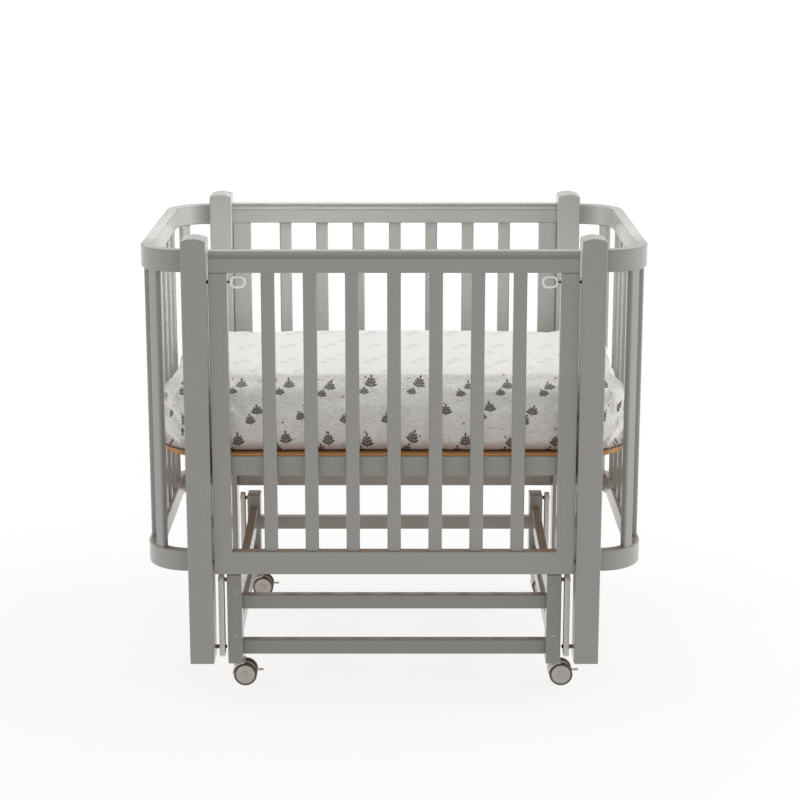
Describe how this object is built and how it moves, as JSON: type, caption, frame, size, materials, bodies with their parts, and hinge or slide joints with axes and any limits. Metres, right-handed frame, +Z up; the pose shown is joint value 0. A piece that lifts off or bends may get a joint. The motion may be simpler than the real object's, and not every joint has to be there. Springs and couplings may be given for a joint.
{
  "type": "pendulum crib",
  "caption": "Slatted wooden crib that hangs from pendulum links on a wheeled under-frame, with a drop side, bent-wood ends, a plywood deck and a mattress.",
  "frame": {"origin": "centre of the crib's footprint, on the floor that the wheels stand on", "axes": "+X along the crib to the right as seen from the drop side, -Y towards the drop side, +Z up"},
  "size_m": [0.93, 0.59, 0.8685],
  "materials": {
    "paint": "wood under satin warm grey paint",
    "link_paint": "wood under satin light grey paint",
    "plywood": "varnished birch plywood",
    "cloth": "heathered off-white cotton jersey with a sparse small leaf print",
    "dark_steel": "dark bronzed steel",
    "white_plastic": "white moulded plastic",
    "grey_plastic": "light grey moulded plastic",
    "tyre": "dark grey-brown soft tread"
  },
  "bodies": {
    "under_frame": {"leg_front_left": "paint", "leg_front_right": "paint", "leg_rear_left": "paint", "leg_rear_right": "paint", "frame_rail_front_upper": "paint", "frame_rail_front_lower": "paint", "frame_rail_rear_upper": "paint", "frame_rail_rear_lower": "paint", "side_bar_left_upper": "paint", "side_bar_left_lower": "paint", "side_bar_right_upper": "paint", "side_bar_right_lower": "paint", "upper_link_pin_front_left": "dark_steel", "upper_link_pin_front_right": "dark_steel", "upper_link_pin_rear_left": "dark_steel", "upper_link_pin_rear_right": "dark_steel"},
    "link_front_left": {"link_front_left": "link_paint"},
    "link_front_right": {"link_front_right": "link_paint"},
    "link_rear_left": {"link_rear_left": "link_paint"},
    "link_rear_right": {"link_rear_right": "link_paint"},
    "crib": {"post_front_left": "paint", "post_front_right": "paint", "post_rear_left": "paint", "post_rear_right": "paint", "rear_panel": "paint", "bent_end_left": "paint", "bent_end_right": "paint", "deck": "plywood", "deck_bearer_front": "paint", "deck_bearer_rear": "paint", "mattress": "cloth", "lower_link_pin_front_left": "dark_steel", "lower_link_pin_front_right": "dark_steel", "lower_link_pin_rear_left": "dark_steel", "lower_link_pin_rear_right": "dark_steel"},
    "drop_side": {"drop_side_stile_left": "paint", "drop_side_stile_right": "paint", "drop_side_top_rail": "paint", "drop_side_bottom_rail": "paint", "drop_side_slat_1": "paint", "drop_side_slat_2": "paint", "drop_side_slat_3": "paint", "drop_side_slat_4": "paint", "drop_side_slat_5": "paint", "drop_side_slat_6": "paint", "drop_side_slat_7": "paint"},
    "release_pin_left": {"release_pin_left": "white_plastic"},
    "release_pin_right": {"release_pin_right": "white_plastic"},
    "caster_front_left": {"caster_housing_front_left": "grey_plastic"},
    "caster_front_right": {"caster_housing_front_right": "grey_plastic"},
    "caster_rear_left": {"caster_housing_rear_left": "grey_plastic"},
    "caster_rear_right": {"caster_housing_rear_right": "grey_plastic"},
    "wheels_front_left": {"caster_wheels_front_left": "tyre"},
    "wheels_front_right": {"caster_wheels_front_right": "tyre"},
    "wheels_rear_left": {"caster_wheels_rear_left": "tyre"},
    "wheels_rear_right": {"caster_wheels_rear_right": "tyre"},
    "brake_front_left": {"brake_lever_front_left": "grey_plastic"},
    "brake_front_right": {"brake_lever_front_right": "grey_plastic"},
    "brake_rear_left": {"brake_lever_rear_left": "grey_plastic"},
    "brake_rear_right": {"brake_lever_rear_right": "grey_plastic"}
  },
  "joints": [
    {"name": "pendulum_swing", "type": "hinge", "parent": "under_frame", "child": "link_front_left", "pos_m": [-0.3247, -0.251, 0.2127], "axis": [-1, 0, 0], "range_deg": [-20, 20]},
    {"name": "link_swing_front_right", "type": "hinge", "parent": "under_frame", "child": "link_front_right", "pos_m": [0.3247, -0.251, 0.2127], "axis": [-1, 0, 0], "range_deg": [-20, 20]},
    {"name": "link_swing_rear_left", "type": "hinge", "parent": "under_frame", "child": "link_rear_left", "pos_m": [-0.3247, 0.251, 0.2127], "axis": [-1, 0, 0], "range_deg": [-20, 20]},
    {"name": "link_swing_rear_right", "type": "hinge", "parent": "under_frame", "child": "link_rear_right", "pos_m": [0.3247, 0.251, 0.2127], "axis": [-1, 0, 0], "range_deg": [-20, 20]},
    {"name": "crib_level", "type": "hinge", "parent": "link_front_left", "child": "crib", "pos_m": [-0.3247, -0.251, 0.079], "axis": [-1, 0, 0], "range_deg": [-20, 20]},
    {"name": "drop_side_slide", "type": "slide", "parent": "crib", "child": "drop_side", "axis": [0, 0, -1], "range_m": [0, 0.15]},
    {"name": "release_pin_left_pull", "type": "slide", "parent": "drop_side", "child": "release_pin_left", "axis": [1, 0, 0], "range_m": [0, 0.01], "stiffness_N_per_m": 200, "springref_m": -0.005},
    {"name": "release_pin_right_pull", "type": "slide", "parent": "drop_side", "child": "release_pin_right", "axis": [-1, 0, 0], "range_m": [0, 0.01], "stiffness_N_per_m": 200, "springref_m": -0.005},
    {"name": "caster_swivel_front_left", "type": "hinge", "parent": "under_frame", "child": "caster_front_left", "pos_m": [-0.29975, -0.235, 0.0487], "axis": [0, 0, 1], "continuous": true},
    {"name": "caster_swivel_front_right", "type": "hinge", "parent": "under_frame", "child": "caster_front_right", "pos_m": [0.29975, -0.235, 0.0487], "axis": [0, 0, 1], "continuous": true},
    {"name": "caster_swivel_rear_left", "type": "hinge", "parent": "under_frame", "child": "caster_rear_left", "pos_m": [-0.29975, 0.235, 0.0487], "axis": [0, 0, 1], "continuous": true},
    {"name": "caster_swivel_rear_right", "type": "hinge", "parent": "under_frame", "child": "caster_rear_right", "pos_m": [0.29975, 0.235, 0.0487], "axis": [0, 0, 1], "continuous": true},
    {"name": "wheel_roll_front_left", "type": "hinge", "parent": "caster_front_left", "child": "wheels_front_left", "pos_m": [-0.28295, -0.235, 0.022], "axis": [0, 1, 0], "continuous": true},
    {"name": "wheel_roll_front_right", "type": "hinge", "parent": "caster_front_right", "child": "wheels_front_right", "pos_m": [0.31655, -0.235, 0.022], "axis": [0, 1, 0], "continuous": true},
    {"name": "wheel_roll_rear_left", "type": "hinge", "parent": "caster_rear_left", "child": "wheels_rear_left", "pos_m": [-0.28295, 0.235, 0.022], "axis": [0, 1, 0], "continuous": true},
    {"name": "wheel_roll_rear_right", "type": "hinge", "parent": "caster_rear_right", "child": "wheels_rear_right", "pos_m": [0.31655, 0.235, 0.022], "axis": [0, 1, 0], "continuous": true},
    {"name": "brake_press_front_left", "type": "hinge", "parent": "caster_front_left", "child": "brake_front_left", "pos_m": [-0.27095, -0.235, 0.026], "axis": [0, 1, 0], "range_deg": [0, 18]},
    {"name": "brake_press_front_right", "type": "hinge", "parent": "caster_front_right", "child": "brake_front_right", "pos_m": [0.32855, -0.235, 0.026], "axis": [0, 1, 0], "range_deg": [0, 18]},
    {"name": "brake_press_rear_left", "type": "hinge", "parent": "caster_rear_left", "child": "brake_rear_left", "pos_m": [-0.27095, 0.235, 0.026], "axis": [0, 1, 0], "range_deg": [0, 18]},
    {"name": "brake_press_rear_right", "type": "hinge", "parent": "caster_rear_right", "child": "brake_rear_right", "pos_m": [0.32855, 0.235, 0.026], "axis": [0, 1, 0], "range_deg": [0, 18]}
  ],
  "couplings": [
    {"joint": "link_swing_front_right", "follows": "pendulum_swing", "ratio": 1},
    {"joint": "link_swing_rear_left", "follows": "pendulum_swing", "ratio": 1},
    {"joint": "link_swing_rear_right", "follows": "pendulum_swing", "ratio": 1},
    {"joint": "crib_level", "follows": "pendulum_swing", "ratio": -1}
  ]
}
